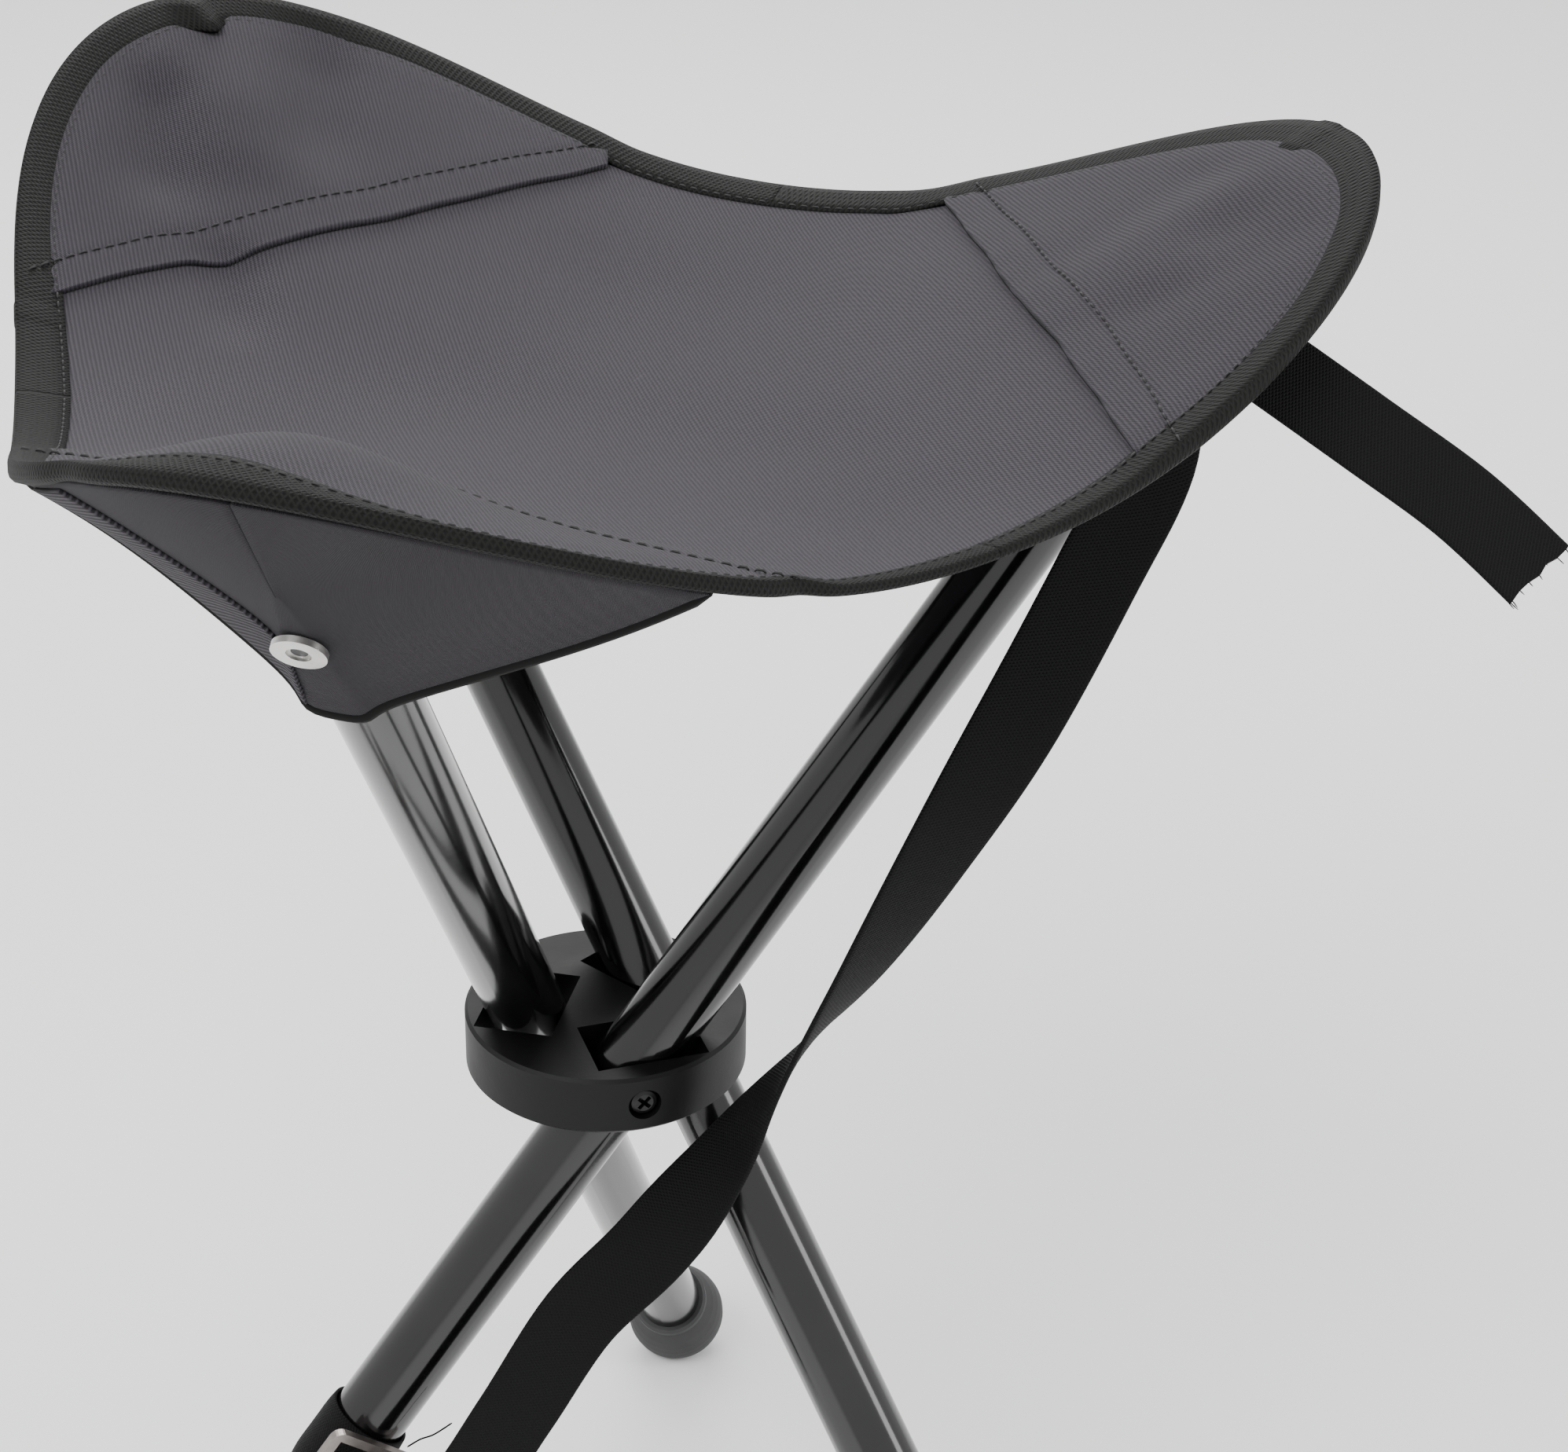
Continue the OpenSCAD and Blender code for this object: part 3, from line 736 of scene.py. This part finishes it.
# Each strap's route: points on its middle line, and the direction of its width there
CARRY = [[(111, -56, 414), (8, -5, -2)], [(110, -58, 392), (8, -3, -5)],
         [(98, -60, 368), (8, -3, -4)], [(80, -63, 336), (8, -3, -4)],
         [(62, -62, 303), (8, 1, -5)], [(45, -58, 270), (6, 5, -5)],
         [(31, -51, 243), (3, 9, -4)], [(17, -46, 217), (-3, 9, -1)],
         [(-2, -47, 195), (-7, 5, 4)], [(-21, -49, 179), (-8, 3, 5)],
         [(-38, -52, 156), (-9, 2, 4)], [(-53, -52, 134), (-9, 2, 3)],
         [(-68, -47, 120), (-9, 1, -3)], [(-81, -39, 118), (-6, 0, -8)]]
TIE = [[(135, -61, 414.5), (8, 4, 5)], [(152, -76.5, 402.5), (8, 4, 5)],
       [(168, -93.5, 391), (8, 4, 5)], [(180, -109, 379), (8, 4, 5)]]
STRAP_W, STRAP_T = 20.0, 1.4
# Across a strap: where its columns are, and how thick it is at each
STRAP_COLUMNS = np.array([-1, -0.97, -0.9, -0.6, -0.3, 0, 0.3, 0.6, 0.9, 0.97, 1.0])
STRAP_THICK = np.array([0.35, 0.8, 1.0, 0.94, 0.9, 0.9, 0.9, 0.94, 1.0, 0.8, 0.35])
# The loop lies this far below the hub along tube a, clear of it by LOOP_GAP
LOOP_REACH, LOOP_GAP = 124.0, 0.1
LOOP_THICK = np.array([0.5, 0.9, 1, 0.95, 0.95, 0.95, 1, 0.9, 0.5])
# The thread that has come loose beside the buckle
LOOSE = [(-61.1, -30.9, 134.1), (-57.7, -31.1, 135.9), (-54.3, -31.6, 137.0),
         (-49.6, -31.7, 139.6)]
LOOSE_R, FRAY_R = 0.22, 0.14


def smooth_run(rows, steps):
    """A smooth curve through rows of numbers, with that many steps between them."""
    rows = np.asarray(rows, float)
    last, out = len(rows) - 1, []
    for k in range(last):
        a, b, c, d = (rows[max(0, min(last, k + o))] for o in (-1, 0, 1, 2))
        for i in range(steps):
            t = i / steps
            out.append(0.5 * (2 * b + (c - a) * t + (2 * a - 5 * b + 4 * c - d) * t * t
                              + (3 * b - a - 3 * c + d) * t ** 3))
    return np.array(out + [rows[last]])


def webbing(name, route, steps, ragged=0.0):
    """A strap along its route. A ragged end is cut unevenly, by up to that much."""
    mid = smooth_run([p for p, _ in route], steps)
    side = smooth_run([w for _, w in route], steps)
    ahead = np.gradient(mid, axis=0)
    face = np.cross(ahead, side)
    face /= np.linalg.norm(face, axis=1, keepdims=True)
    wide = np.cross(face, ahead)
    wide /= np.linalg.norm(wide, axis=1, keepdims=True)
    grid = mid[:, None] + wide[:, None] * (STRAP_COLUMNS * STRAP_W / 2)[None, :, None]
    if ragged:
        ahead_end = ahead[-1] / np.linalg.norm(ahead[-1])
        grid[-1] += ahead_end * (rng.uniform(-ragged, 0, len(STRAP_COLUMNS)))[:, None]
    along = np.concatenate([[0], np.cumsum(np.linalg.norm(np.diff(mid, axis=0), axis=1))])
    uv = np.stack(np.broadcast_arrays(along[:, None], STRAP_COLUMNS[None, :] * STRAP_W / 2),
                  -1) * MM
    piece = layer(name, grid, np.broadcast_to(face[:, None], grid.shape),
                  np.broadcast_to(STRAP_T * STRAP_THICK, grid.shape[:2]), uv)
    wear(piece, WEB)
    return piece, grid, along[-1]


def add_carry_strap():
    carry, _, length = webbing("carry_webbing", CARRY, 9)
    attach(carry, "leg_a")
    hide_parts("carry_strap")


def add_tie_strap():
    tie, grid, length = webbing("tie_webbing", TIE, 14, ragged=0.9)
    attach(tie, "leg_a")
    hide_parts("tie_strap")
    ahead = grid[-2:, :].mean(1)
    ahead = (ahead[1] - ahead[0]) / np.linalg.norm(ahead[1] - ahead[0])
    runs = []
    for k in range(len(STRAP_COLUMNS)):
        start = grid[-1, k] - ahead * 0.8
        bend = rng.normal(0, 0.35, 3)
        size = rng.uniform(1.2, 3.0)
        runs.append([start + ahead * size * t + bend * t * t for t in (0, 0.4, 0.7, 1)])
    frayed = tubes("tie_threads", runs, FRAY_R, 5)
    wear(frayed, WEB)
    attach(frayed, "leg_a")


def add_strap_loop():
    """The loop of webbing round tube a, a closed ring of its own."""
    loop_r = TUBE_R + LOOP_GAP + STRAP_T / 2
    t = np.linspace(0, 2 * math.pi, 73)
    middle = np.array([math.sin(OPEN), 0, math.cos(OPEN)])
    first = np.array([math.cos(OPEN), 0, -math.sin(OPEN)])
    centre = np.array([0, -TUBE_OFFSET, HUB_Z]) - middle * LOOP_REACH
    height = np.linspace(-STRAP_W / 2, STRAP_W / 2, len(LOOP_THICK))
    out = first[None] * np.cos(t)[:, None] + np.array([0, 1, 0])[None] * np.sin(t)[:, None]
    grid = centre + out[:, None] * loop_r + middle * height[None, :, None]
    uv = np.stack(np.broadcast_arrays((t * 11)[:, None], height[None, :]), -1) * MM
    n, m = grid.shape[:2]
    points, faces, uvs = [], [], []
    for i in range(n - 1):
        for sign in (1, -1):
            for j in range(m):
                points.append(grid[i, j] + sign * out[i] * STRAP_T * LOOP_THICK[j] / 2)
                uvs.append(uv[i, j])
    for i in range(n - 1):
        k = (i + 1) % (n - 1)
        for side in (0, 1):
            for j in range(m - 1):
                a, b = (2 * i + side) * m + j, (2 * k + side) * m + j
                faces.append((a, b, b + 1, a + 1))
        for j in (0, m - 1):
            a, b = i * 2 * m + j, k * 2 * m + j
            faces.append((a, b, b + m, a + m))
    loop = make("webbing_loop", points, faces, uvs)
    wear(loop, WEB)
    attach(loop, "leg_a")
    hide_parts("strap_loop")
    loose_thread()


def loose_thread():
    thread = tubes("loose_thread", [smooth_run(LOOSE, 6)], LOOSE_R, 6)
    wear(thread, WEB)
    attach(thread, "leg_a")
    return thread


# ---- rivets and the rest ------------------------------------------------------

# Where a rivet's hollow is: along its tube from the hub, and out from the axis
RIVET_REACH, RIVET_FLOOR = 231.6, 14.98
EYE_R, EYE_T, EYE_SIDES = 1.7, 0.2, 28


def add_eye_shade(leg):
    """A dark disc at the floor of a rivet's hollow: painted shade."""
    along = np.array([math.sin(OPEN), 0, math.cos(OPEN)])
    outward = np.array([math.cos(OPEN), 0, -math.sin(OPEN)])
    side = np.array([0.0, 1.0, 0.0])
    centre = np.array([0, -TUBE_OFFSET, HUB_Z]) + along * RIVET_REACH + outward * RIVET_FLOOR
    points = [centre, centre + outward * EYE_T]
    for height in (0, EYE_T):
        for k in range(EYE_SIDES):
            t = 2 * math.pi * k / EYE_SIDES
            points.append(centre + outward * height
                          + EYE_R * (along * math.cos(t) + side * math.sin(t)))
    faces = []
    for k in range(EYE_SIDES):
        a, b = 2 + k, 2 + (k + 1) % EYE_SIDES
        faces += [(0, a, b), (1, a + EYE_SIDES, b + EYE_SIDES),
                  (a, b, b + EYE_SIDES, a + EYE_SIDES)]
    eye = make("rivet_eye_shade_" + leg, spun(np.array(points), LEGS[leg]), faces, smooth=False)
    # The black disc is painted shade in the rivet's hollow.
    wear(eye, SCREW_AND_SHADE)
    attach(eye, "leg_" + leg)


for leg in LEGS:
    add_eye_shade(leg)
    add_panel(leg)
    add_patch(leg)
    add_binding(leg)
    add_pocket(leg)
add_carry_strap()
add_tie_strap()
add_strap_loop()

FINISH = [("hub", HUB), ("buckle", BUCKLE)]
for leg in LEGS:
    FINISH += [("pivot_screw_" + leg, SCREW_AND_SHADE), ("leg_tube_" + leg, TUBE),
               ("top_cap_" + leg, CAP), ("foot_" + leg, FOOT), ("rivet_" + leg, RIVET)]
for name, material in FINISH:
    paint(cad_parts[name], material)

# ---- floor and light ------------------------------------------------------------

FLOOR = 6
floor_mesh = bpy.data.meshes.new("floor")
floor_mesh.from_pydata([(-FLOOR, -FLOOR, 0), (FLOOR, -FLOOR, 0), (FLOOR, FLOOR, 0),
                        (-FLOOR, FLOOR, 0)], [], [(0, 1, 2, 3)])
floor = bpy.data.objects.new("floor", floor_mesh)
bpy.context.scene.collection.objects.link(floor)
floor_paint = Paint("floor_paint", rough=0.9, specular=0.1)
floor_paint.set("Base Color", (0.86, 0.86, 0.86, 1))
floor.data.materials.append(floor_paint.material)

world = bpy.data.worlds.new("studio")
world.use_nodes = True
sky = world.node_tree.nodes["Background"].inputs
sky["Color"].default_value = (1, 1, 1, 1)
sky["Strength"].default_value = 1.2
bpy.context.scene.world = world


SEAT_AIM = (0, 0, 0.25)


def softbox(name, place, size, power):
    data = bpy.data.lights.new(name, "AREA")
    data.shape, data.size, data.size_y, data.energy = "RECTANGLE", size[0], size[1], power
    light = bpy.data.objects.new(name, data)
    light.location = place
    aim = Vector(SEAT_AIM) - Vector(place)
    light.rotation_euler = aim.to_track_quat("-Z", "Y").to_euler()
    bpy.context.scene.collection.objects.link(light)


softbox("key", (-0.9, -0.7, 1.7), (1.2, 1.0), 34)
softbox("fill", (1.5, -0.9, 1.0), (0.5, 1.6), 16)
softbox("back", (0.3, 1.5, 1.3), (1.4, 0.5), 18)
